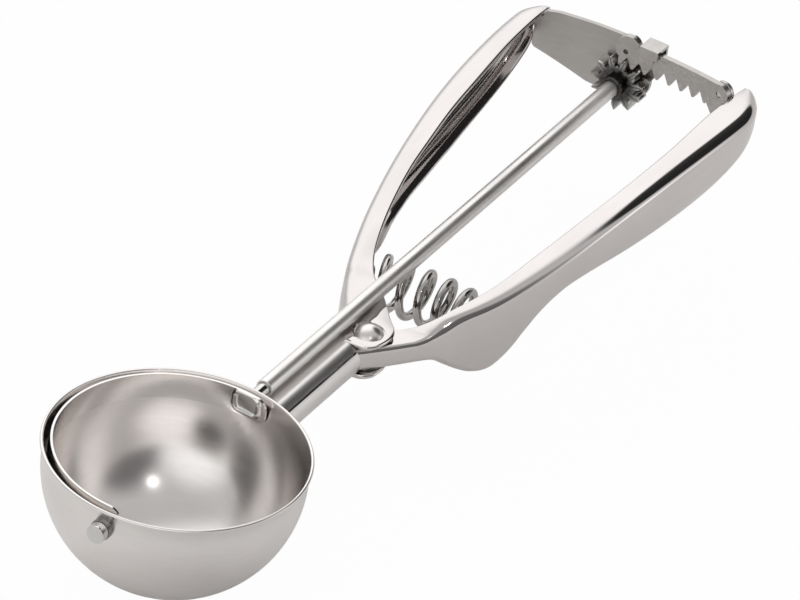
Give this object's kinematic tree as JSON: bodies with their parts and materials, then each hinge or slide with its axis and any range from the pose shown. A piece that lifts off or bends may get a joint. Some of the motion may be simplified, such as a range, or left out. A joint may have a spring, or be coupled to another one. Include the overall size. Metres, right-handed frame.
{
  "type": "lever ice cream scoop",
  "caption": "Squeeze-handle ice cream scoop: a round bowl whose scraper blade is swept by a sprung lever handle through a rack, pinion and shaft.",
  "frame": {"origin": "centre of the ball that the bowl shapes, on the axis of the drive shaft", "axes": "+Y along the drive shaft from the bowl to the handle ends, +X towards the moving handle, +Z out of the bowl's mouth"},
  "size_m": [0.0673, 0.2372, 0.042],
  "materials": {
    "bright_steel": "polished stainless steel",
    "handle_steel": "polished pressed stainless sheet",
    "dark_steel": "plain turned steel",
    "spring_wire": "drawn spring wire",
    "gear_steel": "punched steel, dull faces and bright edges",
    "plate_steel": "satin sheet steel"
  },
  "bodies": {
    "fixed_body": {"bowl": "bright_steel", "fixed_handle": "handle_steel", "front_pivot_bush": "dark_steel", "rear_pivot_bush": "dark_steel", "pivot_rivet": "bright_steel", "pivot_sleeve": "dark_steel", "upper_pivot_washer": "dark_steel", "lower_pivot_washer": "dark_steel", "end_plate": "plate_steel", "rack_guide": "bright_steel", "shaft_bearing": "dark_steel", "fixed_spring_stud": "dark_steel", "handle_spring": "spring_wire"},
    "lever": {"moving_handle": "handle_steel", "rack": "gear_steel", "rack_stop_disc": "gear_steel", "rack_bracket": "gear_steel", "rack_washer": "bright_steel", "rack_rivet": "bright_steel", "moving_spring_stud": "dark_steel"},
    "scraper": {"drive_shaft": "bright_steel", "blade_spindle": "bright_steel", "scraper_blade": "bright_steel", "front_pivot_pin": "bright_steel", "pinion": "gear_steel", "tail_pin": "bright_steel", "tail_washer": "dark_steel"}
  },
  "joints": [
    {"name": "handle_squeeze", "type": "hinge", "parent": "fixed_body", "child": "lever", "pos_m": [0.0052, 0.0735, 0], "axis": [0, 0, 1], "range_deg": [0, 8.5], "stiffness_Nm_per_rad": 4, "springref_deg": -8.59, "deforming": ["handle_spring"]},
    {"name": "scraper_turn", "type": "hinge", "parent": "fixed_body", "child": "scraper", "pos_m": [0, 0, 0], "axis": [0, 1, 0], "range_deg": [-180, 0]}
  ],
  "couplings": [
    {"joint": "scraper_turn", "follows": "handle_squeeze", "ratio": -21.091}
  ]
}
